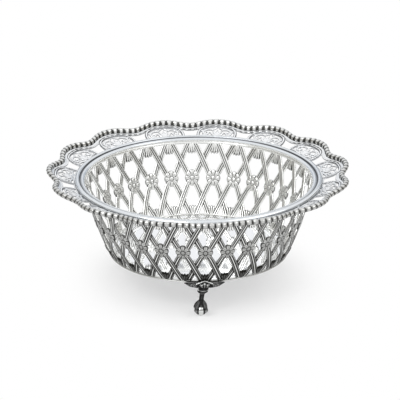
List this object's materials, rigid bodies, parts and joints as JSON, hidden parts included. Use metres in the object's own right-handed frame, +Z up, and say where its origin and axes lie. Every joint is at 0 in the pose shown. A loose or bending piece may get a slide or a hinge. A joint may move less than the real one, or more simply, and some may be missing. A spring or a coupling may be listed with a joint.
{
  "type": "pierced basket",
  "caption": "Round silver basket with a pierced trellis wall, a scalloped pierced border with a gadrooned edge, and claw-and-ball feet.",
  "frame": {"origin": "on the standing plane under the middle of the bowl", "axes": "+Z up along the bowl's axis, -Y towards the foot that the picture shows"},
  "size_m": [0.2826, 0.2814, 0.1118],
  "materials": {
    "bright_silver": "polished silver, softly mirror-like",
    "chased_silver": "chased silver, bright on the high parts and toned in the cuts",
    "dark_silver": "cast silver, darkened in its hollows"
  },
  "bodies": {
    "root": {"basket_wall": "chased_silver", "base_band": "chased_silver", "floor_plate": "bright_silver", "moulding_ring": "bright_silver", "border": "bright_silver", "gadroon_edge": "chased_silver", "foot_crest_1": "dark_silver", "foot_crest_2": "dark_silver", "foot_crest_3": "dark_silver", "foot_leg_1": "dark_silver", "foot_leg_2": "dark_silver", "foot_leg_3": "dark_silver"}
  },
  "joints": []
}
